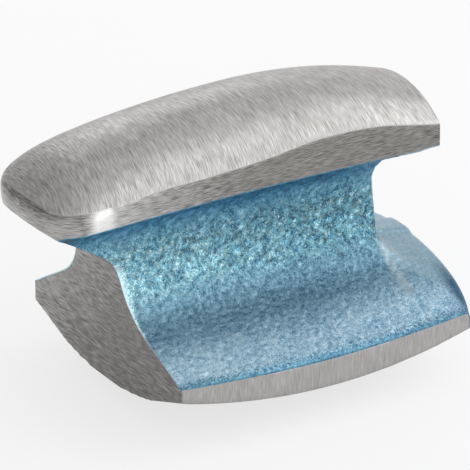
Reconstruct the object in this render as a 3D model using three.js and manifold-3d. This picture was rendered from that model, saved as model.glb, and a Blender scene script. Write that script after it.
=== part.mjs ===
// Hand anvil: a one-piece drop-forged steel dolly of rail-like section, with a
// lacquer film in its forged hollows. Units are millimetres, +Z is up, +X runs
// from the rounded nose to the square end, and the part stands on its crowned foot.
//
// Heights below are measured from the upper edge of the foot, lengths from the
// left end of the foot and widths from the middle plane. The finished meshes are
// then moved so that the part stands on Z = 0, in the middle of its own box.

import * as THREE from 'three';
import { mergeVertices } from 'three/addons/utils/BufferGeometryUtils.js';
import Module from 'manifold-3d';

const wasm = await Module();
wasm.setup();

// Foot: a wide flange with bowed sides and a bottom crowned both ways
const FOOT_LENGTH = 69;
const FOOT_HALF_WIDTH = 29.1;
const FOOT_SIDE_BOW = 1.2;
const FOOT_END_BOW = 2.6;
const FOOT_DEPTH = 14.9;
const FOOT_CROSS_RADIUS = 69;
const FOOT_LENGTH_RADIUS = 130;
const FOOT_CROWN_SUMMIT = 36;
const FOOT_CROWN_SIDE_SHIFT = 0.6;
// Sizes of the rings that draw the bottom, as shares of the foot's outline
const FOOT_RING_SHARES = [0.05, 0.2, 0.4, 0.6, 0.8, 1];
const FOOT_EDGE_RADIUS = 4;
const FOOT_EDGE_INSET = 0.3;
const FOOT_EDGE_STEEPNESS = THREE.MathUtils.degToRad(70);

// Web: the narrow waist between foot and head
const WAIST_HALF_WIDTH = 8;
const WAIST_STRAIGHT = 2.8;
const UPPER_HOLLOW_RADIUS = 7;

// The foot's upper slopes: the back one is steeper and starts higher.
const FRONT_SLOPE = THREE.MathUtils.degToRad(26);
const FRONT_HOLLOW_RADIUS = 16;
const BACK_SLOPE = THREE.MathUtils.degToRad(31);
const BACK_HOLLOW_RADIUS = 15;
const BACK_EDGE_LIFT = 0.8;

// Head: a long crowned loaf with ground flanks, which rises from its rim
const HEAD_HALF_WIDTH = 15;
const HEAD_RIM_ARCH = 0.9;
const HEAD_CROWN_RISE = 16.5;
const HEAD_CROWN_NOSE_RADIUS = 210;
const HEAD_CROWN_END_RADIUS = 119;
const HEAD_CROWN_SUMMIT = 31.5;
const HEAD_END = 70.8;
const NOSE_REACH = 19.9;
const NOSE_CORNER_REACH = 12.5;
const NOSE_TUCK = 2;
const UNDERSIDE_SLOPE = THREE.MathUtils.degToRad(6);

// Ridge between flank and crown, from the nose to the square end: places as
// shares of the head's length and rises as shares of the crown's rise
const RIDGE_SHARES = [
  { along: 0, rise: 0.196 },
  { along: 0.144, rise: 0.24 },
  { along: 0.259, rise: 0.311 },
  { along: 0.4, rise: 0.331 },
  { along: 0.537, rise: 0.379 },
  { along: 0.658, rise: 0.458 },
  { along: 0.763, rise: 0.464 },
  { along: 0.846, rise: 0.423 },
  { along: 0.931, rise: 0.331 },
  { along: 1, rise: 0.264 },
];
// Squareness of the nose in plan: two gives an ellipse.
const NOSE_SQUARENESS = 2.4;

// Left end: a flat ground face that sweeps out under the nose
const END_FACE_HEIGHT = 16;
const END_FACE_LEAN = THREE.MathUtils.degToRad(6);
const SWEEP_RADIUS = 8;
const SWEEP_SLOPE = THREE.MathUtils.degToRad(50);
const NOSE_RIM_DROP = 0.8;

// Right end: a C-shaped notch with a low mound below and the head above
const NOTCH_WALL = 60.2;
const NOTCH_EDGE_RADIUS = 4;
const NOTCH_FOOT_RADIUS = 4;
const NOTCH_HEAD_RADIUS = 7.5;
const NOTCH_HEAD_SLOPE = THREE.MathUtils.degToRad(1);
const NOTCH_HEAD_DROP = 0.4;
const MOUND_HEIGHT = 8;
const MOUND_SLOPE = THREE.MathUtils.degToRad(8);
const MOUND_CROSS_RADIUS = 57;
const FLASH_LAND_HALF_WIDTH = 3;
const FLASH_LAND_HEIGHT = 0.7;
const FLASH_LAND_FLANK = 1.2;

// The foot's right end stays as forged, with a rounded upper edge.
const FOOT_END_RADIUS = 2.4;
// Squareness of the end's bow in plan: two gives a parabola.
const FOOT_END_SQUARENESS = 5.5;

// Lacquer: the film and the room that it keeps to the steel
const FILM_THICKNESS = 0.2;
const FILM_CLEARANCE = 0.1;

// How far cutting bodies run past what they cut
const OVERRUN = 6;

// Fineness of the round stretches
const ARC_STEPS = 14;
const CROWN_STEPS = 14;
const SIDE_STEPS = 24;
const NOSE_STEPS = 32;
const NOTCH_STEPS = 30;
const FOOT_END_STEPS = 12;
const RIDGE_STEPS = 80;
const BAND_STEPS = 4;

// Corners closer than this are one corner.
const MERGE_TOLERANCE = 1e-5;

// A closed geometry becomes a solid once its equal corners are merged.
function solidFrom(geometry) {
  const bare = geometry.clone();
  bare.deleteAttribute('normal');
  bare.deleteAttribute('uv');
  const merged = mergeVertices(bare, MERGE_TOLERANCE);
  const corners = merged.index.array;
  const faces = [];
  for (let i = 0; i < corners.length; i += 3) {
    const [a, b, c] = [corners[i], corners[i + 1], corners[i + 2]];
    if (a !== b && b !== c && c !== a) faces.push(a, b, c);
  }
  return new wasm.Manifold(new wasm.Mesh({
    numProp: 3,
    vertProperties: new Float32Array(merged.getAttribute('position').array),
    triVerts: new Uint32Array(faces),
  }));
}

function geometryFrom(solid) {
  const mesh = solid.getMesh();
  const geometry = new THREE.BufferGeometry();
  geometry.setAttribute('position', new THREE.BufferAttribute(mesh.vertProperties, 3));
  geometry.setIndex(new THREE.BufferAttribute(mesh.triVerts, 1));
  geometry.computeVertexNormals();
  return geometry;
}

// Rings of equally many points, stacked from the bottom up, are skinned and
// closed with a fan at each end. Rings run anticlockwise seen from above.
function stackedSolid(rings) {
  const places = [];
  const faces = [];
  const count = rings[0].length;
  for (const ring of rings) {
    for (const point of ring) places.push(point.x, point.y, point.z);
  }
  for (let level = 0; level + 1 < rings.length; level++) {
    for (let i = 0; i < count; i++) {
      const next = (i + 1) % count;
      const a = level * count + i;
      const b = level * count + next;
      const c = a + count;
      const d = b + count;
      faces.push(a, b, d, a, d, c);
    }
  }
  const capRing = (ring, first, upward) => {
    const middle = new THREE.Vector3();
    for (const point of ring) middle.add(point);
    middle.divideScalar(count);
    const hub = places.length / 3;
    places.push(middle.x, middle.y, middle.z);
    for (let i = 0; i < count; i++) {
      const next = (i + 1) % count;
      if (upward) faces.push(first + i, first + next, hub);
      else faces.push(first + next, first + i, hub);
    }
  };
  capRing(rings[0], 0, false);
  capRing(rings.at(-1), (rings.length - 1) * count, true);
  const geometry = new THREE.BufferGeometry();
  geometry.setAttribute('position', new THREE.Float32BufferAttribute(places, 3));
  geometry.setIndex(faces);
  return solidFrom(geometry);
}

// Points on an arc, as pairs across and up
function arc(centre, radius, from, to, steps = ARC_STEPS) {
  return Array.from({ length: steps + 1 }, (_, i) => {
    const angle = from + ((to - from) * i) / steps;
    return new THREE.Vector2(
      centre.x + radius * Math.cos(angle),
      centre.y + radius * Math.sin(angle),
    );
  });
}

const FRONT = { slope: FRONT_SLOPE, radius: FRONT_HOLLOW_RADIUS, lift: 0 };
const BACK = { slope: BACK_SLOPE, radius: BACK_HOLLOW_RADIUS, lift: BACK_EDGE_LIFT };

// Centre of the lower round of a side's hollow, as a pair across and up
function lowerRoundCentre(side) {
  const across = WAIST_HALF_WIDTH + side.radius;
  return new THREE.Vector2(
    across,
    side.lift + side.radius / Math.cos(side.slope)
      + (FOOT_HALF_WIDTH - across) * Math.tan(side.slope),
  );
}

// Heights that follow from the hollows: the upper round's centre, the head's
// rim, the rim of the nose and the top of the crown
const upperRoundHeight = lowerRoundCentre(BACK).y + WAIST_STRAIGHT;
const headRimHeight = upperRoundHeight + UPPER_HOLLOW_RADIUS / Math.cos(UNDERSIDE_SLOPE)
  + (HEAD_HALF_WIDTH - WAIST_HALF_WIDTH - UPPER_HOLLOW_RADIUS) * Math.tan(UNDERSIDE_SLOPE);
const noseRimHeight = headRimHeight - NOSE_RIM_DROP;
const crownTop = headRimHeight + HEAD_CROWN_RISE;

// Half section of a side's hollow, from beyond the foot's edge up to beyond
// the head's rim: foot edge, slope, lower round, waist, upper round, underside.
// An inset moves it into the steel.
function hollowProfile(side, inset) {
  const upperRadius = UPPER_HOLLOW_RADIUS + inset;
  const lowerCentre = lowerRoundCentre(side);
  const upperCentre = new THREE.Vector2(
    WAIST_HALF_WIDTH + UPPER_HOLLOW_RADIUS,
    upperRoundHeight,
  );
  const upright = Math.PI / 2;
  const lower = arc(lowerCentre, side.radius + inset, -upright - side.slope, -Math.PI);
  const upper = arc(upperCentre, upperRadius, Math.PI, upright + UNDERSIDE_SLOPE);
  // The slope ends in a rounded edge that turns steeply downward.
  const edgeRadius = FOOT_EDGE_RADIUS - inset;
  const edgeAcross = FOOT_HALF_WIDTH - FOOT_EDGE_INSET;
  const edgeCentre = new THREE.Vector2(
    edgeAcross - FOOT_EDGE_RADIUS * Math.sin(side.slope),
    side.lift + FOOT_EDGE_INSET * Math.tan(side.slope) - FOOT_EDGE_RADIUS * Math.cos(side.slope),
  );
  const edge = arc(edgeCentre, edgeRadius, upright - FOOT_EDGE_STEEPNESS, upright - side.slope);
  const footPoint = new THREE.Vector2(
    edge[0].x + OVERRUN * Math.cos(FOOT_EDGE_STEEPNESS),
    edge[0].y - OVERRUN * Math.sin(FOOT_EDGE_STEEPNESS),
  );
  const undersideStart = upper.at(-1);
  const undersideEnd = HEAD_HALF_WIDTH + OVERRUN;
  const headPoint = new THREE.Vector2(
    undersideEnd,
    undersideStart.y + (undersideEnd - undersideStart.x) * Math.tan(UNDERSIDE_SLOPE),
  );
  return [footPoint, ...edge, ...lower, ...upper, headPoint];
}

// Extrudes an outline of points across and up along the length, in short
// lengths that can be bent afterwards.
function extrudeAlongLength(outline, from, to, bend) {
  const geometry = new THREE.ExtrudeGeometry(new THREE.Shape(outline), {
    depth: to - from,
    steps: SIDE_STEPS,
    bevelEnabled: false,
  });
  // Shape x becomes the width, shape y the height and the depth the length.
  geometry.applyMatrix4(new THREE.Matrix4().set(
    0, 0, 1, from,
    1, 0, 0, 0,
    0, 1, 0, 0,
    0, 0, 0, 1,
  ));
  const places = geometry.getAttribute('position');
  for (let i = 0; i < places.count; i++) {
    places.setZ(i, places.getZ(i) + bend(places.getX(i), places.getZ(i)));
  }
  return solidFrom(geometry);
}

// Drop of the head's rim toward both ends, fading out down to the waist
function rimDrop(along, height) {
  const middle = (HEAD_END - NOSE_CORNER_REACH) / 2;
  const half = (HEAD_END + NOSE_CORNER_REACH) / 2;
  const offShare = (along - middle) / half;
  const heightShare = THREE.MathUtils.clamp(2 * height / headRimHeight - 1, 0, 1);
  return -HEAD_RIM_ARCH * offShare * offShare * heightShare;
}

// Extrudes an outline of points along and up across the width, in short
// lengths that can be moved afterwards.
function extrudeAcrossWidth(outline, move = () => {}) {
  const halfWidth = FOOT_HALF_WIDTH + FOOT_SIDE_BOW + OVERRUN;
  const geometry = new THREE.ExtrudeGeometry(new THREE.Shape(outline), {
    depth: 2 * halfWidth,
    steps: SIDE_STEPS,
    bevelEnabled: false,
  });
  // Shape x becomes the length, shape y the height and the depth minus the width.
  geometry.applyMatrix4(new THREE.Matrix4().set(
    1, 0, 0, 0,
    0, 0, -1, halfWidth,
    0, 1, 0, 0,
    0, 0, 0, 1,
  ));
  const places = geometry.getAttribute('position');
  const point = new THREE.Vector3();
  for (let i = 0; i < places.count; i++) {
    point.fromBufferAttribute(places, i);
    move(point);
    places.setXYZ(i, point.x, point.y, point.z);
  }
  return solidFrom(geometry);
}

// The raw forging: an I-shaped bar, longer, wider and taller than the part.
function forgingBar(inset) {
  const bottom = -FOOT_DEPTH - OVERRUN;
  const top = crownTop + OVERRUN;
  const halfOutline = (side) => {
    const profile = hollowProfile(side, inset);
    return [
      new THREE.Vector2(profile[0].x, bottom),
      ...profile,
      new THREE.Vector2(profile.at(-1).x, top),
    ];
  };
  const front = halfOutline(FRONT).map((p) => new THREE.Vector2(-p.x, p.y));
  return extrudeAlongLength(
    [...halfOutline(BACK), ...front.reverse()],
    -NOSE_REACH - OVERRUN,
    HEAD_END + OVERRUN,
    rimDrop,
  );
}

// Half width of the web on one side at a height below its waist
function webHalfWidth(side, height) {
  const centre = lowerRoundCentre(side);
  const below = Math.max(centre.y - height, 0);
  if (below > side.radius * Math.cos(side.slope)) {
    return FOOT_HALF_WIDTH - (height - side.lift) / Math.tan(side.slope);
  }
  return centre.x - Math.sqrt(side.radius ** 2 - below ** 2);
}

// How far the web's end wall is rounded off at a place across and up
function wallRound(across, height) {
  const side = across < 0 ? FRONT : BACK;
  const beyond = Math.abs(across) - (webHalfWidth(side, height) - NOTCH_EDGE_RADIUS);
  const off = THREE.MathUtils.clamp(beyond, 0, NOTCH_EDGE_RADIUS);
  return (off * off) / (2 * NOTCH_EDGE_RADIUS);
}

// Lift of the flash land that runs over the mound's middle
function flashLand(across) {
  const beyond = Math.abs(across) - FLASH_LAND_HALF_WIDTH;
  return FLASH_LAND_HEIGHT * THREE.MathUtils.clamp(1 - beyond / FLASH_LAND_FLANK, 0, 1);
}

// Fall of the mound toward the foot's sides, as a parabola
function moundCrown(across) {
  return (across * across) / (2 * MOUND_CROSS_RADIUS);
}

// The space of the C-shaped notch at the right end
function notchSpace(inset) {
  const end = HEAD_END + 2 * OVERRUN;
  const footRadius = NOTCH_FOOT_RADIUS + inset;
  const headRadius = NOTCH_HEAD_RADIUS + inset;
  const footCentre = new THREE.Vector2(
    NOTCH_WALL + NOTCH_FOOT_RADIUS,
    MOUND_HEIGHT + NOTCH_FOOT_RADIUS / Math.cos(MOUND_SLOPE)
      + (FOOT_LENGTH - NOTCH_WALL - NOTCH_FOOT_RADIUS) * Math.tan(MOUND_SLOPE),
  );
  const headCentre = new THREE.Vector2(
    NOTCH_WALL + NOTCH_HEAD_RADIUS,
    headRimHeight - NOTCH_HEAD_DROP - NOTCH_HEAD_RADIUS / Math.cos(NOTCH_HEAD_SLOPE)
      - (HEAD_END - NOTCH_WALL - NOTCH_HEAD_RADIUS) * Math.tan(NOTCH_HEAD_SLOPE),
  );
  const lower = arc(footCentre, footRadius, -Math.PI / 2 - MOUND_SLOPE, -Math.PI);
  const upper = arc(headCentre, headRadius, Math.PI, Math.PI / 2 + NOTCH_HEAD_SLOPE);
  const moundEnd = new THREE.Vector2(
    end,
    lower[0].y - (end - lower[0].x) * Math.tan(MOUND_SLOPE),
  );
  const undersideEnd = new THREE.Vector2(
    end,
    upper.at(-1).y + (end - upper.at(-1).x) * Math.tan(NOTCH_HEAD_SLOPE),
  );
  const outline = [moundEnd, ...lower, ...upper, undersideEnd];
  const half = FOOT_HALF_WIDTH + FOOT_SIDE_BOW + OVERRUN;
  const positive = Array.from(
    { length: NOTCH_STEPS },
    (_, i) => FLASH_LAND_HALF_WIDTH + ((half - FLASH_LAND_HALF_WIDTH) * i) / (NOTCH_STEPS - 1),
  );
  const stations = [...positive.map((y) => -y).reverse(), ...positive];
  // A ring for each place across: the lower half follows the mound's crown,
  // and the wall is rounded off toward the hollows.
  const rings = stations.map((across) => outline.map((p) => {
    const low = THREE.MathUtils.clamp((footCentre.y - p.y) / footRadius, 0, 1);
    const high = THREE.MathUtils.clamp((p.y - headCentre.y) / headRadius, 0, 1);
    const upright = (1 - low) * (1 - high);
    return new THREE.Vector3(
      p.x - upright * wallRound(across, p.y),
      across,
      p.y + low * (flashLand(across) - moundCrown(across)),
    );
  }));
  return stackedSolid(rings);
}

// Height of the mound's surface on the middle plane, without its flash land
function moundHeight(along) {
  return MOUND_HEIGHT + (FOOT_LENGTH - along) * Math.tan(MOUND_SLOPE);
}

// The space beyond the foot's right end, with the end's rounded upper edge
function endSpace(inset) {
  const end = HEAD_END + 2 * OVERRUN;
  const bottom = -FOOT_DEPTH - OVERRUN;
  const along = FOOT_LENGTH - FOOT_END_RADIUS;
  const centre = new THREE.Vector2(
    along,
    moundHeight(along) - FOOT_END_RADIUS / Math.cos(MOUND_SLOPE),
  );
  const round = arc(centre, FOOT_END_RADIUS - inset, 0, Math.PI / 2 - MOUND_SLOPE);
  const top = centre.y + FOOT_END_RADIUS + OVERRUN;
  return extrudeAcrossWidth([
    new THREE.Vector2(end, bottom),
    new THREE.Vector2(end, top),
    new THREE.Vector2(round.at(-1).x, top),
    ...round.reverse(),
    new THREE.Vector2(FOOT_LENGTH - inset, bottom),
  ], (point) => {
    const share = Math.min(Math.abs(point.y) / FOOT_HALF_WIDTH, 1);
    point.x += FOOT_END_BOW * (1 - share ** FOOT_END_SQUARENESS);
    if (point.z > centre.y) point.z += flashLand(point.y) - moundCrown(point.y);
  });
}

// Half width of the foot's bowed side at a place along it
function footHalfWidth(along) {
  const share = (2 * along) / FOOT_LENGTH - 1;
  return FOOT_HALF_WIDTH + FOOT_SIDE_BOW * (1 - share * share);
}

// The crowned bottom, as a height over a place in plan
function footBottom(along, across) {
  const lengthways = along - FOOT_CROWN_SUMMIT;
  const crossways = across - FOOT_CROWN_SIDE_SHIFT;
  const crossDrop = FOOT_CROSS_RADIUS - Math.sqrt(FOOT_CROSS_RADIUS ** 2 - crossways ** 2);
  const lengthDrop = FOOT_LENGTH_RADIUS - Math.sqrt(FOOT_LENGTH_RADIUS ** 2 - lengthways ** 2);
  return -FOOT_DEPTH + crossDrop + lengthDrop;
}

// Ground block round foot and web: bowed sides and crowned bottom
function footBlock() {
  const left = -NOSE_REACH - OVERRUN;
  const right = FOOT_LENGTH + OVERRUN;
  const plan = [];
  for (let i = 0; i <= SIDE_STEPS; i++) {
    const along = (right * i) / SIDE_STEPS;
    plan.push(new THREE.Vector2(along, -footHalfWidth(along)));
  }
  for (let i = SIDE_STEPS; i >= 0; i--) {
    const along = (right * i) / SIDE_STEPS;
    plan.push(new THREE.Vector2(along, footHalfWidth(along)));
  }
  for (let i = 0; i <= FOOT_END_STEPS; i++) {
    plan.push(new THREE.Vector2(left, FOOT_HALF_WIDTH * (1 - (2 * i) / FOOT_END_STEPS)));
  }
  const rings = FOOT_RING_SHARES.map((share) => plan.map((p) => {
    const along = FOOT_CROWN_SUMMIT + (p.x - FOOT_CROWN_SUMMIT) * share;
    const across = FOOT_CROWN_SIDE_SHIFT + (p.y - FOOT_CROWN_SIDE_SHIFT) * share;
    return new THREE.Vector3(along, across, footBottom(along, across));
  }));
  rings.push(plan.map((p) => new THREE.Vector3(p.x, p.y, headRimHeight - OVERRUN / 2)));
  return stackedSolid(rings);
}

// Height of the ridge between flank and crown at a place along the head
const ridgeCurve = new THREE.CatmullRomCurve3(RIDGE_SHARES.map((p) => new THREE.Vector3(
  p.along * (NOSE_REACH + HEAD_END) - NOSE_REACH,
  0,
  headRimHeight + p.rise * HEAD_CROWN_RISE,
)));
const ridgePoints = ridgeCurve.getPoints(RIDGE_STEPS);
function ridgeHeight(along) {
  for (let i = 1; i < ridgePoints.length; i++) {
    const a = ridgePoints[i - 1];
    const b = ridgePoints[i];
    if (along <= b.x) {
      const share = THREE.MathUtils.clamp((along - a.x) / (b.x - a.x), 0, 1);
      return a.z + (b.z - a.z) * share;
    }
  }
  return ridgePoints.at(-1).z;
}

// The crown falls gently toward the nose and faster toward the square end.
function crownHeight(along) {
  const off = along - HEAD_CROWN_SUMMIT;
  const radius = off < 0 ? HEAD_CROWN_NOSE_RADIUS : HEAD_CROWN_END_RADIUS;
  return crownTop - radius + Math.sqrt(radius ** 2 - off ** 2);
}

// Ground loaf of the head: flanks, rounded nose and crown
function headLoaf() {
  const spineStart = HEAD_HALF_WIDTH - NOSE_REACH;
  const end = HEAD_END + OVERRUN;
  const plan = [];
  const spine = [];
  const startOfSide = -NOSE_CORNER_REACH;
  for (let i = 0; i <= SIDE_STEPS; i++) {
    const along = startOfSide + ((end - startOfSide) * i) / SIDE_STEPS;
    plan.push(new THREE.Vector2(along, -HEAD_HALF_WIDTH));
    spine.push(new THREE.Vector2(Math.max(along, spineStart), 0));
  }
  for (let i = SIDE_STEPS; i >= 0; i--) {
    const along = startOfSide + ((end - startOfSide) * i) / SIDE_STEPS;
    plan.push(new THREE.Vector2(along, HEAD_HALF_WIDTH));
    spine.push(new THREE.Vector2(Math.max(along, spineStart), 0));
  }
  for (let i = 1; i < NOSE_STEPS; i++) {
    const turn = (Math.PI * i) / NOSE_STEPS;
    const across = Math.sign(Math.cos(turn)) * Math.abs(Math.cos(turn)) ** (2 / NOSE_SQUARENESS);
    plan.push(new THREE.Vector2(
      startOfSide - (NOSE_REACH - NOSE_CORNER_REACH) * Math.sin(turn),
      HEAD_HALF_WIDTH * across,
    ));
    spine.push(new THREE.Vector2(spineStart, 0));
  }
  // The flanks are upright; the nose tucks in toward its rim.
  const base = headRimHeight - OVERRUN;
  const rings = [];
  for (let step = 0; step < BAND_STEPS; step++) {
    const share = step / BAND_STEPS;
    const tuck = (NOSE_TUCK * (1 - share) ** 2) / (NOSE_REACH - NOSE_CORNER_REACH);
    rings.push(plan.map((p) => new THREE.Vector3(
      p.x + Math.max(startOfSide - p.x, 0) * tuck,
      p.y,
      base + (ridgeHeight(p.x) - base) * share,
    )));
  }
  for (let step = CROWN_STEPS; step >= 0; step--) {
    const share = Math.sin((Math.PI / 2) * (step / CROWN_STEPS));
    rings.push(plan.map((p, i) => {
      const foot = spine[i];
      const along = foot.x + (p.x - foot.x) * share;
      const across = p.y * share;
      const reach = p.distanceTo(foot);
      const edge = ridgeHeight(p.x);
      const rise = crownHeight(along) - edge;
      const radius = (reach * reach + rise * rise) / (2 * rise);
      const lift = Math.sqrt(radius ** 2 - (reach * share) ** 2) - (radius - rise);
      return new THREE.Vector3(along, across, edge + lift);
    }));
  }
  return stackedSolid(rings);
}

// What is ground away at the left end: below and left of the swept face
function sweptSpace() {
  const faceFoot = new THREE.Vector2(0, -FOOT_DEPTH - OVERRUN);
  const faceBend = new THREE.Vector2(0, 0);
  const faceTop = new THREE.Vector2(
    -END_FACE_HEIGHT * Math.tan(END_FACE_LEAN),
    END_FACE_HEIGHT,
  );
  const centre = new THREE.Vector2(
    faceTop.x - SWEEP_RADIUS * Math.cos(END_FACE_LEAN),
    faceTop.y - SWEEP_RADIUS * Math.sin(END_FACE_LEAN),
  );
  const sweep = arc(centre, SWEEP_RADIUS, END_FACE_LEAN, SWEEP_SLOPE);
  const left = -NOSE_REACH - 2 * OVERRUN;
  const noseRim = new THREE.Vector2(-NOSE_REACH, noseRimHeight);
  const outline = [
    faceFoot,
    faceBend,
    ...sweep,
    noseRim,
    new THREE.Vector2(left, noseRimHeight),
    new THREE.Vector2(left, faceFoot.y),
  ];
  return extrudeAcrossWidth(outline);
}

// The head, trimmed square at its right end, is what lies within this block.
function endTrim() {
  const left = -NOSE_REACH - 2 * OVERRUN;
  const bottom = -FOOT_DEPTH - OVERRUN;
  const top = crownTop + OVERRUN;
  return extrudeAcrossWidth([
    new THREE.Vector2(left, bottom),
    new THREE.Vector2(HEAD_END, bottom),
    new THREE.Vector2(HEAD_END, top),
    new THREE.Vector2(left, top),
  ]);
}

const ground = headLoaf().intersect(endTrim()).add(footBlock()).subtract(sweptSpace());
const forging = (inset) => forgingBar(inset)
  .subtract(notchSpace(inset))
  .subtract(endSpace(inset));

const steelSolid = forging(FILM_THICKNESS + FILM_CLEARANCE).intersect(ground);
const filmSolid = forging(0).subtract(forging(FILM_THICKNESS)).intersect(ground);

const groundSteel = new THREE.MeshStandardMaterial({
  color: '#a3a09c',
  roughness: 0.38,
  metalness: 1,
});
const blueLacquer = new THREE.MeshStandardMaterial({
  color: '#4f8fb0',
  roughness: 0.35,
  metalness: 0.35,
});

const forgedBody = new THREE.Mesh(geometryFrom(steelSolid), groundSteel);
forgedBody.name = 'forged_body';
const lacquerFilm = new THREE.Mesh(geometryFrom(filmSolid), blueLacquer);
lacquerFilm.name = 'lacquer_film';

// The part stands on its crown, in the middle of its own box.
const handAnvil = new THREE.Group();
handAnvil.add(forgedBody, lacquerFilm);
handAnvil.position.set((NOSE_REACH - FOOT_LENGTH - FOOT_END_BOW) / 2, 0, FOOT_DEPTH);

export default handAnvil;
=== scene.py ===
import math

import bmesh
import bpy
from mathutils import Matrix, Vector, noise


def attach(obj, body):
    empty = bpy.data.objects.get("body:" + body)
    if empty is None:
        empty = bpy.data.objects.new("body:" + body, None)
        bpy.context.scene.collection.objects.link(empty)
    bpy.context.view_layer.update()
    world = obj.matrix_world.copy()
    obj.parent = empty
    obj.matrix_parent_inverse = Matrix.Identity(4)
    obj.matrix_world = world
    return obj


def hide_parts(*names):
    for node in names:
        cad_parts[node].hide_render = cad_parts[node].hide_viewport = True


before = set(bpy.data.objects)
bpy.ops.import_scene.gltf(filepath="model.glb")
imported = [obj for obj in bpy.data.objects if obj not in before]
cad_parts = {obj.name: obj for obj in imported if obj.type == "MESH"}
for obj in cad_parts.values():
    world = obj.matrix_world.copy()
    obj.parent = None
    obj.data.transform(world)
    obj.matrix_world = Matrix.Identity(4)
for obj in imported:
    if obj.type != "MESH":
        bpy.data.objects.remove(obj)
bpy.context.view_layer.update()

# Rough forging
# The real piece is one bar of steel, drop-forged hot between two dies into a
# section like a rail. Lengths are in millimetres from the foot's left end,
# heights from the foot's upper edge, and widths from the middle plane.

foot_half_width = 29.1
foot_depth = 14.9
foot_edge_radius = 4.0
foot_edge_inset = 0.3
foot_edge_steepness = math.radians(70)
waist_half_width = 8.0
waist_straight = 2.8
upper_round = 7.0
underside_slope = math.radians(6)
front = {"slope": math.radians(26), "round": 16.0, "lift": 0.0}
back = {"slope": math.radians(31), "round": 15.0, "lift": 0.8}
head_half_width = 15.0
head_end = 70.8
nose_reach = 19.9
nose_corner_reach = 12.5
rim_arch = 0.9
crown_rise = 16.5
overrun = 5.0
length_steps = 40


def lower_centre(side):
    """Centre of the round between a side's foot slope and the web."""
    across = waist_half_width + side["round"]
    up = side["lift"] + side["round"] / math.cos(side["slope"])
    return across, up + (foot_half_width - across) * math.tan(side["slope"])


upper_centre = (waist_half_width + upper_round, lower_centre(back)[1] + waist_straight)
rim_height = upper_centre[1] + upper_round / math.cos(underside_slope)
crown_top = rim_height + crown_rise


def arc(centre, radius, start, end, steps=20):
    """Points on a round, as pairs."""
    turns = [start + (end - start) * i / steps for i in range(steps + 1)]
    return [(centre[0] + radius * math.cos(t), centre[1] + radius * math.sin(t)) for t in turns]


def ramp(value, start, end):
    """0 at start and 1 at end, and held there beyond them."""
    return min(max((value - start) / (end - start), 0), 1)


def hollow_side(side, inset):
    """Half of the section, from beyond the foot's edge to beyond the head's rim."""
    slope = side["slope"]
    edge_centre = (
        foot_half_width - foot_edge_inset - foot_edge_radius * math.sin(slope),
        side["lift"] + foot_edge_inset * math.tan(slope) - foot_edge_radius * math.cos(slope),
    )
    edge = arc(edge_centre, foot_edge_radius - inset,
               math.pi / 2 - foot_edge_steepness, math.pi / 2 - slope)
    lower = arc(lower_centre(side), side["round"] + inset, -math.pi / 2 - slope, -math.pi)
    upper = arc(upper_centre, upper_round + inset, math.pi, math.pi / 2 + underside_slope)
    foot = (edge[0][0] + 2 * overrun * math.cos(foot_edge_steepness),
            edge[0][1] - 2 * overrun * math.sin(foot_edge_steepness))
    rim_across = head_half_width + overrun
    rim = (rim_across, upper[-1][1] + (rim_across - upper[-1][0]) * math.tan(underside_slope))
    return [foot, *edge, *lower, *upper, rim]


def drawn_bar(outline, place, start, end, steps):
    """A closed bar: an outline of pairs, drawn out in equal steps. place turns
    a pair and a distance into a point."""
    bar = bmesh.new()
    cap = bar.faces.new([bar.verts.new(place(a, b, start)) for a, b in outline])
    drawn = bmesh.ops.extrude_face_region(bar, geom=[cap])["geom"]
    moved = {part for part in drawn if isinstance(part, bmesh.types.BMVert)}
    bmesh.ops.translate(bar, verts=list(moved), vec=Vector(place(0, 0, end)) - Vector(place(0, 0, start)))
    long_edges = [edge for edge in bar.edges if (edge.verts[0] in moved) != (edge.verts[1] in moved)]
    bmesh.ops.subdivide_edges(bar, edges=long_edges, cuts=steps - 1)
    bmesh.ops.recalc_face_normals(bar, faces=bar.faces)
    return bar


def along_length(a, b, distance):
    """A point of a section across the tool, at a distance along it."""
    return distance, a, b


def rim_drop(along, up):
    """The head's rim sinks toward both ends."""
    middle = (head_end - nose_corner_reach) / 2
    half = (head_end + nose_corner_reach) / 2
    return rim_arch * ((along - middle) / half) ** 2 * ramp(up, rim_height / 2, rim_height)


def forged_bar(inset):
    """The bar as it leaves the dies, longer and taller than the finished tool."""
    def half_outline(side):
        profile = hollow_side(side, inset)
        return [(profile[0][0], -foot_depth - overrun), *profile, (profile[-1][0], crown_top + overrun)]
    outline = half_outline(back) + [(-a, b) for a, b in reversed(half_outline(front))]
    bar = drawn_bar(outline, along_length, -nose_reach - overrun, head_end + overrun, length_steps)
    for vert in bar.verts:
        vert.co.z -= rim_drop(vert.co.x, vert.co.z)
    return bar


# Notch and right end
# The forging's right end has a C-shaped notch with a low mound under it. The
# dies meet along the middle, where the trimmed flash leaves a raised land.

foot_length = 69.0
notch_wall = 60.2
notch_edge = 4.0
notch_foot_round = 4.0
notch_head_round = 7.5
notch_head_slope = math.radians(1)
notch_head_drop = 0.4
mound_height = 8.0
mound_slope = math.radians(8)
mound_round = 57.0
land_half_width = 3.0
land_height = 0.7
land_flank = 1.2
end_round = 2.4
end_bow = 2.6
end_squareness = 5.5
beyond_end = head_end + 3 * overrun
beyond_side = foot_half_width + 2 * overrun
width_steps = 100


def across_width(a, b, distance):
    """A point of a section along the tool, at a distance across it."""
    return a, distance, b


def mound_up(along):
    """Height of the mound, which falls toward the foot's end."""
    return mound_height + (foot_length - along) * math.tan(mound_slope)


def mound_lift(across):
    """The flash land stands proud, and the mound falls toward the foot's sides."""
    land = land_height * ramp(abs(across), land_half_width + land_flank, land_half_width)
    return land - across ** 2 / (2 * mound_round)


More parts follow.
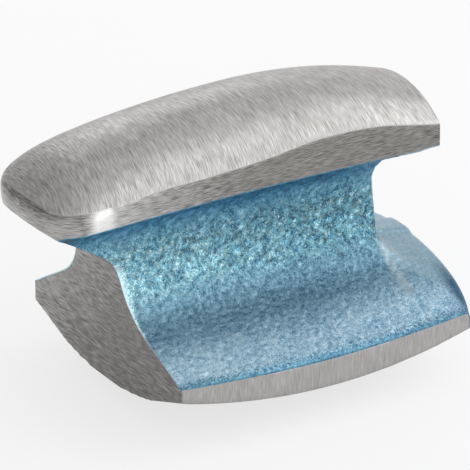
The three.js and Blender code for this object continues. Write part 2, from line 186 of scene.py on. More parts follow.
def web_half_width(side, up):
    """Half of the forging's width at a height, on the web and the foot's slope."""
    across, centre_up = lower_centre(side)
    below = max(centre_up - up, 0)
    if below > side["round"] * math.cos(side["slope"]):
        return foot_half_width - (up - side["lift"]) / math.tan(side["slope"])
    return across - math.sqrt(side["round"] ** 2 - below ** 2)


def wall_round(across, up):
    """How far the web's end wall is rounded off toward the hollows."""
    width = web_half_width(front if across < 0 else back, up)
    return notch_edge / 2 * ramp(abs(across), width - notch_edge, width) ** 2


def notch_space(inset):
    """What the dies leave out at the right end, between mound and head."""
    foot_up = mound_up(notch_wall + notch_foot_round) + notch_foot_round / math.cos(mound_slope)
    head_up = rim_height - notch_head_drop - notch_head_round / math.cos(notch_head_slope)
    head_up -= (head_end - notch_wall - notch_head_round) * math.tan(notch_head_slope)
    lower = arc((notch_wall + notch_foot_round, foot_up), notch_foot_round + inset,
                -math.pi / 2 - mound_slope, -math.pi)
    upper = arc((notch_wall + notch_head_round, head_up), notch_head_round + inset,
                math.pi, math.pi / 2 + notch_head_slope)
    outline = [
        (beyond_end, lower[0][1] - (beyond_end - lower[0][0]) * math.tan(mound_slope)), *lower,
        *upper, (beyond_end, upper[-1][1] + (beyond_end - upper[-1][0]) * math.tan(notch_head_slope)),
    ]
    space = drawn_bar(outline, across_width, -beyond_side, beyond_side, width_steps)
    for vert in space.verts:
        low = ramp(vert.co.z, foot_up, foot_up - notch_foot_round - inset)
        high = ramp(vert.co.z, head_up, head_up + notch_head_round + inset)
        vert.co.x -= (1 - low) * (1 - high) * wall_round(vert.co.y, vert.co.z)
        vert.co.z += low * mound_lift(vert.co.y)
    return space


def end_space(inset):
    """What lies beyond the foot's right end, with the end's rounded edge."""
    along = foot_length - end_round
    centre = (along, mound_up(along) - end_round / math.cos(mound_slope))
    edge = arc(centre, end_round - inset, 0, math.pi / 2 - mound_slope)
    bottom = -foot_depth - 2 * overrun
    top = centre[1] + end_round + overrun
    outline = [(beyond_end, bottom), (beyond_end, top), (edge[-1][0], top), *reversed(edge),
               (foot_length - inset, bottom)]
    space = drawn_bar(outline, across_width, -beyond_side, beyond_side, width_steps)
    for vert in space.verts:
        share = min(abs(vert.co.y) / foot_half_width, 1)
        vert.co.x += end_bow * (1 - share ** end_squareness)
        if vert.co.z > centre[1]:
            vert.co.z += mound_lift(vert.co.y)
    return space


def put_in_scene(shape, name):
    """A bmesh becomes an object of the scene."""
    mesh = bpy.data.meshes.new(name)
    shape.to_mesh(mesh)
    shape.free()
    thing = bpy.data.objects.new(name, mesh)
    bpy.context.scene.collection.objects.link(thing)
    return thing


def taken_out(thing):
    """An object's mesh with its modifiers, as a bmesh. The object is removed."""
    graph = bpy.context.evaluated_depsgraph_get()
    shape = bmesh.new()
    shape.from_object(thing, graph)
    mesh = thing.data
    bpy.data.objects.remove(thing)
    bpy.data.meshes.remove(mesh)
    return shape


def combined(shape, tool, operation, solver="MANIFOLD"):
    """Joins, cuts or intersects two closed shapes. The exact solver is slower,
    and gives the same corners each run."""
    thing = put_in_scene(shape, "shape")
    cutter = put_in_scene(tool, "tool")
    cut = thing.modifiers.new("cut", "BOOLEAN")
    cut.object = cutter
    cut.operation = operation
    cut.solver = solver
    result = taken_out(thing)
    mesh = cutter.data
    bpy.data.objects.remove(cutter)
    bpy.data.meshes.remove(mesh)
    # A cut can leave a flat crumb, which is two faces on the same corners.
    twins = {}
    for face in result.faces:
        twins.setdefault(frozenset(face.verts), []).append(face)
    crumbs = [face for pair in twins.values() if len(pair) > 1 for face in pair]
    bmesh.ops.delete(result, geom=crumbs, context="FACES")
    return result


def forging(inset):
    """The whole rough forging, or what lies inset under its forged surfaces."""
    raw = combined(forged_bar(inset), notch_space(inset), "DIFFERENCE", "EXACT")
    return combined(raw, end_space(inset), "DIFFERENCE", "EXACT")


# Ground surfaces
# After forging the smith grinds the head's crown and flanks, the whole left
# end, the foot's sides and its crowned bottom. This is the space that the
# grinding belt leaves, so its surfaces are smooth and true.

foot_side_bow = 1.2
crown_nose_round = 210.0
crown_end_round = 119.0
crown_summit = 31.5
nose_tuck = 2.0
nose_squareness = 2.4
# Places along the head and rises of its ridge, as shares of its length and rise
ridge_shares = [
    (0, 0.196), (0.144, 0.24), (0.259, 0.311), (0.4, 0.331), (0.537, 0.379),
    (0.658, 0.458), (0.763, 0.464), (0.846, 0.423), (0.931, 0.331), (1, 0.264),
]
foot_cross_round = 69.0
foot_length_round = 130.0
foot_summit = (36.0, 0.6)
face_height = 16.0
face_lean = math.radians(6)
sweep_round = 8.0
sweep_slope = math.radians(50)
nose_rim_drop = 0.8
beyond_left = -nose_reach - 3 * overrun
beyond_bottom = -foot_depth - 2 * overrun
ground_reach = foot_half_width + 3 * overrun
ground_grain = 0.5
ground_softness = 2
# The nose is softened to the left of its start and above its low line
nose_start = -6.0
nose_low = rim_height - 1.5
nose_softness = 40
nose_clearance = 0.01
# The front flank turns in between these places, along it and across the head
turn_along = (-2.0, -12.5)
turn_across = (-5.0, -14.0)
turn_rise = 5.0
turn_low_depth = 0.35
turn_high_depth = 0.9
head_low = rim_height - 3.0


def ring_stack(rings):
    """A closed shape: rings of equally many points, bridged one to the next."""
    shape = bmesh.new()
    loops = []
    for ring in rings:
        verts = [shape.verts.new(point) for point in ring]
        loops.append([shape.edges.new((verts[i - 1], verts[i])) for i in range(len(verts))])
    for low, high in zip(loops, loops[1:]):
        bmesh.ops.bridge_loops(shape, edges=low + high)
    bmesh.ops.remove_doubles(shape, verts=shape.verts, dist=0.001)
    bmesh.ops.holes_fill(shape, edges=[edge for edge in shape.edges if edge.is_boundary])
    bmesh.ops.recalc_face_normals(shape, faces=shape.faces)
    return shape


def ridge_up(along):
    """Height of the line between flank and crown, smoothly through its places."""
    share = ramp(along, -nose_reach, head_end)
    places = [ridge_shares[0], *ridge_shares, ridge_shares[-1]]
    at = next(i for i in range(1, len(places) - 2) if share <= places[i + 1][0])
    (_, p0), (s1, p1), (s2, p2), (_, p3) = places[at - 1:at + 3]
    t = (share - s1) / (s2 - s1)
    rise = 0.5 * (2 * p1 + (p2 - p0) * t + (2 * p0 - 5 * p1 + 4 * p2 - p3) * t ** 2
                  + (3 * p1 - p0 - 3 * p2 + p3) * t ** 3)
    return rim_height + rise * crown_rise


def crown_up(along):
    """Height of the crown along its middle, which is flatter toward the nose."""
    off = along - crown_summit
    radius = crown_nose_round if off < 0 else crown_end_round
    return crown_top - radius + math.sqrt(radius ** 2 - off ** 2)


def head_loaf():
    """Flanks, rounded nose and crown of the head, longer than the head."""
    side_steps, nose_steps, crown_steps, band_steps = 60, 56, 28, 4
    spine_start = head_half_width - nose_reach
    end = head_end + overrun
    places = [-nose_corner_reach + (end + nose_corner_reach) * i / side_steps
              for i in range(side_steps + 1)]
    plan = [(along, -head_half_width) for along in places]
    plan += [(along, head_half_width) for along in reversed(places)]
    for i in range(1, nose_steps):
        turn = math.pi * i / nose_steps
        across = math.copysign(abs(math.cos(turn)) ** (2 / nose_squareness), math.cos(turn))
        out = (nose_reach - nose_corner_reach) * math.sin(turn)
        plan.append((-nose_corner_reach - out, head_half_width * across))
    base = rim_height - overrun
    rings = []
    for step in range(band_steps):
        share = step / band_steps
        tuck = nose_tuck * (1 - share) ** 2 / (nose_reach - nose_corner_reach)
        rings.append([(x + max(-nose_corner_reach - x, 0) * tuck, y,
                       base + (ridge_up(x) - base) * share) for x, y in plan])
    for step in range(crown_steps, -1, -1):
        share = math.sin(math.pi / 2 * step / crown_steps)
        ring = []
        for x, y in plan:
            foot = max(x, spine_start)
            along = foot + (x - foot) * share
            reach = math.hypot(x - foot, y)
            rise = crown_up(along) - ridge_up(x)
            radius = (reach ** 2 + rise ** 2) / (2 * rise)
            lift = math.sqrt(radius ** 2 - (reach * share) ** 2) - (radius - rise)
            ring.append((along, y * share, ridge_up(x) + lift))
        rings.append(ring)
    return ring_stack(rings)


def foot_block():
    """Bowed sides and crowned bottom of the foot, with room for the web."""
    side_steps, end_steps, bottom_steps = 40, 20, 16
    left = -nose_reach - overrun
    right = foot_length + overrun
    places = [right * i / side_steps for i in range(side_steps + 1)]
    bowed = [(x, foot_half_width + foot_side_bow * (1 - (2 * x / foot_length - 1) ** 2))
             for x in places]
    plan = [(x, -half) for x, half in bowed] + [(x, half) for x, half in reversed(bowed)]
    plan += [(left, foot_half_width * (1 - 2 * i / end_steps)) for i in range(end_steps + 1)]
    rings = []
    for step in range(1, bottom_steps + 1):
        ring = []
        for x, y in plan:
            off = (x - foot_summit[0]) * step / bottom_steps
            side = (y - foot_summit[1]) * step / bottom_steps
            up = foot_length_round - math.sqrt(foot_length_round ** 2 - off ** 2)
            up += foot_cross_round - math.sqrt(foot_cross_round ** 2 - side ** 2)
            ring.append((foot_summit[0] + off, foot_summit[1] + side, up - foot_depth))
        rings.append(ring)
    rings.append([(x, y, rim_height - overrun / 2) for x, y in plan])
    return ring_stack(rings)


def swept_space():
    """What is ground away at the left end, out under the nose."""
    top = (-face_height * math.tan(face_lean), face_height)
    centre = (top[0] - sweep_round * math.cos(face_lean), top[1] - sweep_round * math.sin(face_lean))
    nose_rim = rim_height - nose_rim_drop
    outline = [(0, beyond_bottom), (0, 0), *arc(centre, sweep_round, face_lean, sweep_slope),
               (-nose_reach, nose_rim), (beyond_left, nose_rim), (beyond_left, beyond_bottom)]
    return drawn_bar(outline, across_width, -ground_reach, ground_reach, 1)


def end_trim():
    """A block that stops where the head's right end is ground flat."""
    beyond_top = crown_top + 2 * overrun
    outline = [(beyond_left, beyond_bottom), (head_end, beyond_bottom),
               (head_end, beyond_top), (beyond_left, beyond_top)]
    return drawn_bar(outline, across_width, -ground_reach, ground_reach, 1)


def soften(shape, verts, rounds):
    """Rounds edges off, a little more with each round."""
    for _ in range(rounds):
        bmesh.ops.smooth_vert(shape, verts=verts, factor=0.5,
                              use_axis_x=True, use_axis_y=True, use_axis_z=True)


def blended(shape, grain, rounds):
    """An even skin of small quads, with its edges rounded off."""
    thing = put_in_scene(shape, "skin")
    skin = thing.modifiers.new("skin", "REMESH")
    skin.mode = "VOXEL"
    skin.voxel_size = grain
    shape = taken_out(thing)
    soften(shape, shape.verts, rounds)
    return shape


ground_space = combined(head_loaf(), end_trim(), "INTERSECT")
ground_space = combined(ground_space, foot_block(), "UNION")
ground_space = combined(ground_space, swept_space(), "DIFFERENCE")
ground_space = blended(ground_space, ground_grain, ground_softness)
nose = [vert for vert in ground_space.verts if vert.co.x < nose_start and vert.co.z > nose_low]
soften(ground_space, nose, nose_softness)
# The belt has taken the front flank in a little, and more at its upper edge,
# where it turns to the nose.
for vert in ground_space.verts:
    turned = ramp(vert.co.x, *turn_along) ** 2
    faded = ramp(vert.co.y, *turn_across)
    high = ramp(vert.co.z, rim_height, rim_height + turn_rise)
    depth = turn_low_depth + (turn_high_depth - turn_low_depth) * high
    if vert.co.z > head_low:
        vert.co.y += turned * faded * faded * (3 - 2 * faded) * depth
# Smoothing draws the nose in, so it is drawn out again to its full reach.
stretch = ((nose_reach - nose_clearance + nose_start)
           / (nose_start - min(vert.co.x for vert in nose)))
for vert in nose:
    vert.co.x = nose_start + (vert.co.x - nose_start) * stretch


# Steel body
# The bare forging, ground bright where it works the sheet metal. Under the
# lacquer it keeps the shape that the dies gave it.

bench_to_frame = Vector(((nose_reach - foot_length - end_bow) / 2, 0, foot_depth))
recess_depth = 0.24
crease_angle = math.radians(38)
# Marks run level on the two ends, and on the last of the surfaces beside them
right_end_band = 0.25
left_end_band = 0.3


def finished(shape, name):
    """Moves a shape from the bench, in millimetres, to its place in the frame."""
    bmesh.ops.translate(shape, verts=shape.verts, vec=bench_to_frame)
    bmesh.ops.scale(shape, verts=shape.verts, vec=(0.001, 0.001, 0.001))
    thing = put_in_scene(shape, name)
    thing.data.shade_smooth()
    thing.data.set_sharp_from_angle(angle=crease_angle)
    return thing


def on_bench(point):
    """A point of a finished piece, back in millimetres on the bench."""
    return point * 1000 - bench_to_frame


def paint(thing, name, values):
    """Keeps a value for each vertex, for the piece's material to read."""
    attribute = thing.data.attributes.new(name, "FLOAT", "POINT")
    attribute.data.foreach_set("value", values)


def hex_colour(code):
    """An sRGB hex colour as linear red, green, blue and alpha."""
    levels = [int(code[i:i + 2], 16) / 255 for i in (1, 3, 5)]
    linear = [c / 12.92 if c <= 0.04045 else ((c + 0.055) / 1.055) ** 2.4 for c in levels]
    return (*linear, 1)


def add_node(tree, kind, inputs=None, **settings):
    """Adds a shader node. inputs gives each socket a value or the output that feeds it."""
    made = tree.nodes.new("ShaderNode" + kind)
    for name, value in settings.items():
        setattr(made, name, value)
    for name, value in (inputs or {}).items():
        if isinstance(value, bpy.types.NodeSocket):
            tree.links.new(value, made.inputs[name])
        else:
            made.inputs[name].default_value = value
    return made


def new_material(name):
    """An empty material, its node tree and its place coordinates in millimetres."""
    material = bpy.data.materials.new(name)
    material.use_nodes = True
    tree = material.node_tree
    tree.nodes.clear()
    place = add_node(tree, "TexCoord").outputs["Object"]
    place = add_node(tree, "VectorMath", {0: place, "Scale": 1000.0}, operation="SCALE").outputs[0]
    return material, tree, place


def ground_steel(name, roughness, spread):
    """Bare carbon steel off a grinding belt. The belt's marks run across the
    crown and up the foot's sides, and level on the flanks, nose and ends. Level
    marks spread a reflection up and down, by the share that spread gives."""
    drift_size, cloud_size, mark_depth = 9.0, 3.0, 0.006
    material, tree, place = new_material(name)
    level = add_node(tree, "Attribute", attribute_name="level").outputs["Fac"]
    level = add_node(tree, "MapRange", {"Value": level, "From Min": -0.1, "From Max": 0.1}).outputs[0]
    # The belt wanders, so no two marks are quite parallel.
    drift = add_node(tree, "TexNoise", {"Vector": place, "Scale": 1 / drift_size,
                                        "Detail": 0.0}).outputs["Color"]
    bent = add_node(tree, "VectorMath", {0: drift, 1: (0.6, 0.6, 0.6), 2: place},
                    operation="MULTIPLY_ADD").outputs[0]
    # Over the crown it runs a little askew, to the right as it comes forward, but
    # it is square to the nose.
    side, depth, height = add_node(tree, "SeparateXYZ", {0: bent}).outputs
    askew = add_node(tree, "MapRange", {"Value": side, "From Min": -40.0, "From Max": 0.0,
                                        "To Min": -0.08, "To Max": 0.24}).outputs[0]
    askew = add_node(tree, "Math", {0: depth, 1: askew, 2: side}, operation="MULTIPLY_ADD").outputs[0]
    skewed = add_node(tree, "CombineXYZ", {0: askew, 1: depth, 2: height}).outputs[0]
    # Widths and lengths of the marks in millimetres: the even grain of the belt,
    # then single scratches. The real ones are finer, and wouldn't show.
    heights = []
    for width, length in ((0.17, 2.4), (0.35, 3.4)):
        across = add_node(tree, "VectorMath", {0: skewed, 1: (width, length, length)},
                          operation="DIVIDE").outputs[0]
        along = add_node(tree, "VectorMath", {0: bent, 1: (length, length, width)},
                         operation="DIVIDE").outputs[0]
        grit = add_node(tree, "Mix", {"Factor": level, 4: across, 5: along}, data_type="VECTOR").outputs[1]
        heights.append(add_node(tree, "TexNoise", {
            "Vector": grit, "Scale": 1.0, "Detail": 1.0, "Roughness": 0.5}).outputs[0])
    # A scratch is where the second pattern crosses its middle level.
    off = add_node(tree, "Math", {0: heights[1], 1: 0.5}, operation="SUBTRACT").outputs[0]
    off = add_node(tree, "Math", {0: off}, operation="ABSOLUTE").outputs[0]
    scratch = add_node(tree, "MapRange", {"Value": off, "From Min": 0.035, "From Max": 0.01}).outputs[0]
    cloud = add_node(tree, "TexNoise", {"Vector": place, "Scale": 1 / cloud_size, "Detail": 3.0,
                                        "Roughness": 0.5}).outputs[0]
    relief = add_node(tree, "Math", {0: scratch, 1: -0.05, 2: heights[0]},
                      operation="MULTIPLY_ADD").outputs[0]
    tone = add_node(tree, "Math", {0: cloud, 1: 0.22, 2: relief}, operation="MULTIPLY_ADD").outputs[0]
    share = add_node(tree, "MapRange", {"Value": tone, "From Min": 0.33, "From Max": 0.87}).outputs[0]
    # The marks' dark and pale ends on the crown, on the foot's sides, which have a finer and more even
    # finish, and on the flanks, nose and ends, which are painted much darker than the crown as painted
    # shade where they turn from the light
    crown, foot, flank = [
        add_node(tree, "Mix", {"Factor": share, 6: hex_colour(dark), 7: hex_colour(pale)},
                 data_type="RGBA").outputs[2]
        for dark, pale in (("#918f8d", "#d3d1d0"), ("#a09e9d", "#c1bfbe"), ("#5b5957", "#a5a3a0"))]
    low = add_node(tree, "MapRange", {"Value": height, "From Min": 22.0, "From Max": 18.0}).outputs[0]
    crown = add_node(tree, "Mix", {"Factor": low, 6: crown, 7: foot}, data_type="RGBA").outputs[2]
    # The turn of the front flank is painted bright, a painted highlight where it catches the light, fading
    # to the right of it. The nose's lower edge and the top and back of the left end are painted a little
    # lighter too, so the left end is darker towards the bottom.
    painted_light = add_node(tree, "Attribute", attribute_name="painted_light").outputs["Fac"]
    painted_light = add_node(tree, "Math", {0: tone, 1: 0.8, 2: painted_light}, operation="MULTIPLY_ADD").outputs[0]
    painted_light = add_node(tree, "MapRange", {"Value": painted_light, "From Min": 0.65, "From Max": 1.5}).outputs[0]
    flank = add_node(tree, "Mix", {"Factor": painted_light, 6: flank, 7: hex_colour("#dbdbda")},
                     data_type="RGBA").outputs[2]
    # Where the marks run level, on the flanks, nose and ends, the darker colours are painted shade, with
    # the painted highlight mixed in.
    colour = add_node(tree, "Mix", {"Factor": level, 6: crown, 7: flank}, data_type="RGBA").outputs[2]
    rough = add_node(tree, "MapRange", {"Value": tone, "From Min": 0.36, "From Max": 0.84,
                                        "To Min": roughness + 0.04, "To Max": roughness - 0.04}).outputs[0]
    bump = add_node(tree, "Bump", {"Height": relief, "Strength": 1.0,
                                   "Distance": mark_depth / 1000}).outputs[0]
    around = add_node(tree, "Tangent", direction_type="RADIAL", axis="Z").outputs[0]
    shader = add_node(tree, "BsdfPrincipled", {
        "Base Color": colour, "Metallic": 1.0, "Roughness": rough, "Normal": bump,
        "Anisotropic": spread, "Anisotropic Rotation": 0.25, "Tangent": around})
    add_node(tree, "OutputMaterial", {"Surface": shader.outputs[0]})
    return material


def level_marks(place, facing):
    """Above 0 where the grinding marks run level, below 0 where they run across."""
    along, _, up = place
    if up > head_low:
        return max(ridge_up(along) - up, along - head_end + right_end_band, 6 * (-facing.x - 0.82))
    return left_end_band - along - max(up, 0) * math.tan(face_lean)


def painted_light_share(place, facing):
    """1 on the turn of the front flank, a painted highlight, and less to the right of it, along the nose's
    lower edge and on the left end, where painted light grows toward its top and back."""
    along, across, up = place
    if up < head_low:
        return (facing.x < -0.8) * (0.08 + 0.29 * ramp(up + across, -5, 30))
    nose_edge = ramp(-facing.x, 0.05, 0.35) * (0.15 + 0.36 * ramp(up, rim_height + 3.5, rim_height + 0.5))
    if across > -10:
        return nose_edge
    trail = 0.5 * ramp(along, 32.5, -5) if along > -9 else 0
    return max(ramp(abs(along + 9), 5.13, 1.33), trail, nose_edge)


recess = forging(recess_depth)
steel = finished(combined(recess.copy(), ground_space.copy(), "INTERSECT"), "steel_forging")
corners = [(on_bench(vert.co), vert.normal) for vert in steel.data.vertices]
paint(steel, "level", [min(max(level_marks(*corner), -1), 1) for corner in corners])
# Painted highlight and painted light on the flank's turn, the nose's lower edge and the left end
paint(steel, "painted_light", [painted_light_share(*corner) for corner in corners])
steel.data.materials.append(ground_steel("ground_steel_across", 0.44, 0.0))
steel.data.materials.append(ground_steel("ground_steel_level", 0.34, 0.75))
for face in steel.data.polygons:
    face.material_index = level_marks(on_bench(face.center), face.normal) > 0
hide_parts("forged_body")
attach(steel, "root")

# Lacquer coat
# A thin translucent blue lacquer, sprayed over the rough forging before it is
# ground, so it ends where the grinding begins.

coat_grain = 0.38
coat_softness = 3
slope_relief = 0.06
web_relief = 0.12
fine_relief = 0.03
rim_width = 2.0
thin_width = 0.9
thin_widening = 1.8


def web_share(place):
    """1 on the web, 0 on the foot's slopes: the dies are roughest on the web."""
    along, _, up = place
    share = ramp(up, 6, 14) * ramp(up, 31, 27)
    return share * (0.25 if along > notch_wall - 0.5 else 1)


def relief_at(place):
    """Height of the rough skin above the die's own shape, in millimetres."""
    coarse = noise.noise(place / 1.1) + 0.8 * noise.noise(place / 0.65 + Vector((9, 4, 2)))
    fine = noise.noise(place / 0.6)
    coarse_relief = slope_relief + (web_relief - slope_relief) * web_share(place)
    held = ramp(place.x, foot_length - 1, foot_length - 4)
    return held * (coarse_relief * coarse + fine_relief * fine)


def relief_share(place):
    """The rough skin's height, as a share of the web's."""
    return relief_at(place) / web_relief


def rim_share(place):
    """1 at the foot's ground sides, 0 from the rim's width in."""
    along, across, up = place
    half = foot_half_width + foot_side_bow * (1 - (2 * along / foot_length - 1) ** 2)
    return ramp(abs(across), half - rim_width, half) if up < 5 else 0


def thin_share(place):
    """1 where the ground left end cuts the web's coat to a thin edge, painted bright as a painted
    highlight.
    """
    along, _, up = place
    face = -max(up, 0) * math.tan(face_lean)
    width = thin_width + thin_widening * ramp(up, 9, 13)
    return ramp(along, face + width, face) * ramp(up, 3, 7) * ramp(up, 21, 18)


def brink_share(place):
    """1 where the coat rolls over the foot's right corners, painted dark as painted shade."""
    along, across, _ = place
    return ramp(along, foot_length - 2, foot_length) * ramp(abs(across), 14, 22)


def mound_share(place):
    """1 on the mound and its fillet, where the dies leave a smooth skin."""
    along, across, up = place
    off = up - mound_up(along) - mound_lift(across)
    return ramp(along, 60, 61) * ramp(off, -0.65, -0.4)


def sill_share(place):
    """1 along the fillet that runs down from the notch's wall onto the foot, painted pale grey as a
    painted reflection.
    """
    along, across, up = place
    off = along - notch_wall + wall_round(across, up) - 1.2
    return ramp(abs(off), 1.68, 0.48) * ramp(up, 13, 10) * ramp(across, -6, -9) * ramp(up, 3, 4)


painted_shares = {"relief": relief_share, "rim": rim_share, "thin": thin_share,
                  "brink": brink_share, "mound": mound_share, "sill": sill_share}


def forge_lacquer():
    """Translucent blue lacquer on rough steel: pools dark, thins out pale, and is painted darker as
    painted shade in the hollow, under the head and over the foot's right corners.
    """
    grain_size, cloud_size, peel_size, tint_size, grain_depth = 0.5, 4.0, 0.9, 1.2, 0.06
    material, tree, place = new_material("translucent_blue_lacquer")
    relief, rim, thin, brink, mound, sill = [
        add_node(tree, "Attribute", attribute_name=name).outputs["Fac"] for name in painted_shares]
    side, _, up = add_node(tree, "SeparateXYZ", {0: place}).outputs
    # Heights over the table, in millimetres, between which each place begins
    hollow, web, lee = [
        add_node(tree, "MapRange", {"Value": up, "From Min": start, "From Max": full}).outputs[0]
        for start, full in ((17.0, 22.0), (24.0, 29.0), (36.0, 42.0))]
    grain = add_node(tree, "TexNoise", {"Vector": place, "Scale": 1 / grain_size, "Detail": 3.0,
                                        "Roughness": 0.65, "Distortion": 1.2}).outputs[0]
    cloud = add_node(tree, "TexNoise", {"Vector": place, "Scale": 1 / cloud_size,
                                        "Detail": 2.0}).outputs[0]
    tone = add_node(tree, "Math", {0: relief, 1: 0.17, 2: grain}, operation="MULTIPLY_ADD").outputs[0]
    tone = add_node(tree, "Math", {0: cloud, 1: 0.22, 2: tone}, operation="MULTIPLY_ADD").outputs[0]
    # The coat has shrunk into an orange peel, and is thinnest along its creases.
    peel = add_node(tree, "TexNoise", {"Vector": place, "Scale": 1 / peel_size, "Detail": 1.0,
                                       "Distortion": 1.0}).outputs[0]
    peel = add_node(tree, "Math", {0: peel, 1: 0.5}, operation="SUBTRACT").outputs[0]
    peel = add_node(tree, "Math", {0: peel}, operation="ABSOLUTE").outputs[0]
    crease = add_node(tree, "MapRange", {"Value": peel, "From Min": 0.05, "From Max": 0.0}).outputs[0]
    tone = add_node(tree, "Math", {0: crease, 1: 0.13, 2: tone}, operation="MULTIPLY_ADD").outputs[0]
    # The spray came from the right, so the coat is thinner and paler at the left.
    spray = add_node(tree, "MapRange", {"Value": side, "From Min": -27.0, "From Max": 12.0,
                                        "To Min": 0.06, "To Max": -0.015}).outputs[0]
    tone = add_node(tree, "Math", {0: tone, 1: spray}, operation="ADD").outputs[0]
    share = add_node(tree, "MapRange", {"Value": tone, "From Min": 0.45, "From Max": 0.86}).outputs[0]
    # Its colours in each place, where it lies thick and where it lies thin. The hollow, where the coat
    # also pools thick, the lee under the head and the brink are painted darker than the slope, as painted
    # shade.
    coats = {}
    for name, thick, pale in (
        ("slope", "#6699b8", "#d2edfa"), ("hollow", "#275872", "#7ea6b7"),
        ("grey web", "#15444f", "#98c2cb"), ("cyan web", "#034469", "#81cce1"),
        ("lee", "#28607f", "#5f9bba"), ("mound", "#7a9bae", "#a0bdcb"),
        ("rim", "#235f7f", "#74a9c0"), ("brink", "#17425d", "#4a7893"),
        ("sill", "#7f9cab", "#b3c3cb"),
    ):
        coats[name] = add_node(tree, "Mix", {"Factor": share, 6: hex_colour(thick), 7: hex_colour(pale)},
                               data_type="RGBA").outputs[2]
    # On the rough web its blue varies between grey and cyan, and pale specks are painted on as painted
    # glints, where bare points also shine through.
    tint = add_node(tree, "TexNoise", {"Vector": place, "Scale": 1 / tint_size, "Detail": 1.0,
                                       "Distortion": 1.0}).outputs[0]
    tint = add_node(tree, "MapRange", {"Value": tint, "From Min": 0.3, "From Max": 0.7}).outputs[0]
    point = add_node(tree, "MapRange", {"Value": tone, "From Min": 0.76, "From Max": 0.92}).outputs[0]
    web_coat = coats["grey web"]
    for where, over in ((tint, coats["cyan web"]), (point, hex_colour("#cdeef4"))):
        web_coat = add_node(tree, "Mix", {"Factor": where, 6: web_coat, 7: over},
                            data_type="RGBA").outputs[2]
    # Its edge is ragged along the foot's sides, and cut thin at the left, where it is painted bright as a
    # painted highlight.
    ragged = add_node(tree, "Math", {0: grain, 1: -1.8, 2: rim}, operation="MULTIPLY_ADD").outputs[0]
    ragged = add_node(tree, "MapRange", {"Value": ragged, "From Min": -0.75, "From Max": -0.1}).outputs[0]
    bright = add_node(tree, "Math", {0: grain, 1: 1.8, 2: thin}, operation="MULTIPLY_ADD").outputs[0]
    bright = add_node(tree, "MapRange", {"Value": bright, "From Min": 1.2, "From Max": 1.85}).outputs[0]
    # The hollow, lee and brink colours are painted shade, the sill's a painted reflection, and the bright
    # edge's a painted highlight.
    colour = coats["slope"]
    for where, over in (
        (hollow, coats["hollow"]), (web, web_coat), (lee, coats["lee"]), (mound, coats["mound"]),
        (ragged, coats["rim"]), (brink, coats["brink"]), (sill, coats["sill"]),
        (bright, hex_colour("#c9ebf0")),
    ):
        colour = add_node(tree, "Mix", {"Factor": where, 6: colour, 7: over}, data_type="RGBA").outputs[2]
    bump = add_node(tree, "Bump", {"Height": grain, "Strength": 1.0,
                                   "Distance": grain_depth / 1000}).outputs[0]
    shader = add_node(tree, "BsdfPrincipled", {
        "Base Color": colour, "Metallic": 0.8, "Roughness": 0.36, "Normal": bump,
        "Coat Weight": 0.35, "Coat Roughness": 0.18})
    add_node(tree, "OutputMaterial", {"Surface": shader.outputs[0]})
    return material


film_shape = blended(forging(0.0), coat_grain, coat_softness)
film_shape.normal_update()
for vert in film_shape.verts:
    vert.co += vert.normal * relief_at(vert.co)
film_shape = combined(film_shape, ground_space, "INTERSECT")
film_shape = combined(film_shape, recess, "DIFFERENCE")
film = finished(film_shape, "lacquer_coat")
places = [on_bench(vert.co) for vert in film.data.vertices]
for name, share in painted_shares.items():
    paint(film, name, [share(place) for place in places])
film.data.materials.append(forge_lacquer())
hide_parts("lacquer_film")
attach(film, "root")

# Studio
# A white table between white walls, with soft boxes to the right and behind and
# a small low one in front, which finds the turn of the head's flank.

table_reach = 4
lamp_aim = Vector((0, 0, 0.03))
lamp_distance = 0.9
focal_length = 451.8
sensor_width = 36
camera_azimuth, camera_elevation = -31.73, 24.692
camera_distance = 1.2
camera_aim = Vector((-0.0004, 0, 0.0302))
aim_right, aim_up = 0.00437, 0.00094


def direction(azimuth, elevation):
    """The way from the object to a place around it. The angles are in degrees."""
    turn, rise = math.radians(azimuth), math.radians(elevation)
    return Vector((math.sin(turn) * math.cos(rise), -math.cos(turn) * math.cos(rise), math.sin(rise)))


table_shape = bmesh.new()
bmesh.ops.create_grid(table_shape, x_segments=1, y_segments=1, size=table_reach)
table = put_in_scene(table_shape, "table")
material, tree, _ = new_material("white_laminate")
shader = add_node(tree, "BsdfDiffuse", {"Color": hex_colour("#fbfbfb")})
# Seen directly the table is partly white of its own, and less so in metal and
# clear coats, so its shadow stays faint.
path = add_node(tree, "LightPath")
seen = add_node(tree, "Math", {0: path.outputs["Is Glossy Ray"], 1: path.outputs["Is Transmission Ray"]},
                operation="MAXIMUM").outputs[0]
seen = add_node(tree, "Math", {0: seen, 1: 0.43, 2: path.outputs["Is Camera Ray"]},
                operation="MULTIPLY_ADD").outputs[0]
seen = add_node(tree, "Math", {0: seen, 1: 0.7}, operation="MULTIPLY").outputs[0]
white = add_node(tree, "Emission", {"Strength": 1.0})
shader = add_node(tree, "MixShader", {0: seen, 1: shader.outputs[0], 2: white.outputs[0]})
add_node(tree, "OutputMaterial", {"Surface": shader.outputs[0]})
table.data.materials.append(material)

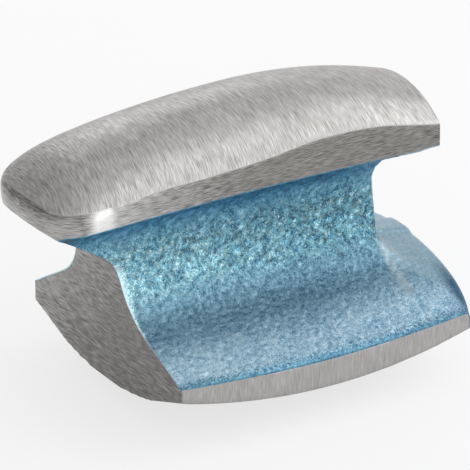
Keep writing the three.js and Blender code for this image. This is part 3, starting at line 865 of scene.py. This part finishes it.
# Azimuth and elevation in degrees, width and height in metres, and radiance
for name, azimuth, elevation, width, height, radiance in (
    ("right_front_box", 30, 36, 0.6, 0.5, 0.85),
    ("right_box", 75, 36, 0.6, 0.5, 1.4),
    ("back_box", 165, 36, 0.6, 0.5, 0.7),
    ("front_strip", 19, 5, 0.1, 0.1, 13),
):
    lamp = bpy.data.lights.new(name, "AREA")
    lamp.shape = "RECTANGLE"
    lamp.size = width
    lamp.size_y = height
    lamp.energy = radiance * math.pi * width * height
    light = bpy.data.objects.new(name, lamp)
    away = direction(azimuth, elevation)
    light.location = lamp_aim + away * lamp_distance
    light.rotation_euler = away.to_track_quat("Z", "Y").to_euler()
    light.visible_camera = False
    bpy.context.scene.collection.objects.link(light)

world = bpy.data.worlds.new("studio")
world.use_nodes = True
tree = world.node_tree
# The studio's walls are white near the table and fall off to grey overhead.
heading = add_node(tree, "TexCoord").outputs["Generated"]
height = add_node(tree, "SeparateXYZ", {0: heading}).outputs[2]
walls = add_node(tree, "MapRange", {"Value": height, "From Min": 0.1, "From Max": 1.0,
                                    "To Min": 1.0, "To Max": 0.65}).outputs[0]
# The room is open behind the left end, so less light comes from there.
open_side = add_node(tree, "VectorMath", {0: heading, 1: (-0.73, 0.68, 0)},
                     operation="DOT_PRODUCT").outputs[1]
open_side = add_node(tree, "MapRange", {"Value": open_side, "From Min": 0.1, "From Max": 1.0,
                                        "To Min": 1.0, "To Max": 0.45}).outputs[0]
walls = add_node(tree, "Math", {0: walls, 1: open_side}, operation="MULTIPLY").outputs[0]
tree.links.new(walls, tree.nodes["Background"].inputs["Color"])
bpy.context.scene.world = world
bpy.context.scene.view_settings.view_transform = "Standard"

camera_data = bpy.data.cameras.new("camera")
camera_data.lens = focal_length
camera_data.sensor_width = sensor_width
camera = bpy.data.objects.new("camera", camera_data)
bpy.context.scene.collection.objects.link(camera)
outward = direction(camera_azimuth, camera_elevation)
sideways = Vector((-outward.y, outward.x, 0)).normalized()
upward = outward.cross(sideways)
aim = camera_aim + sideways * aim_right + upward * aim_up
camera.matrix_world = Matrix.Translation(aim + outward * camera_distance) @ Matrix(
    (sideways, upward, outward)).transposed().to_4x4()
bpy.context.scene.camera = camera
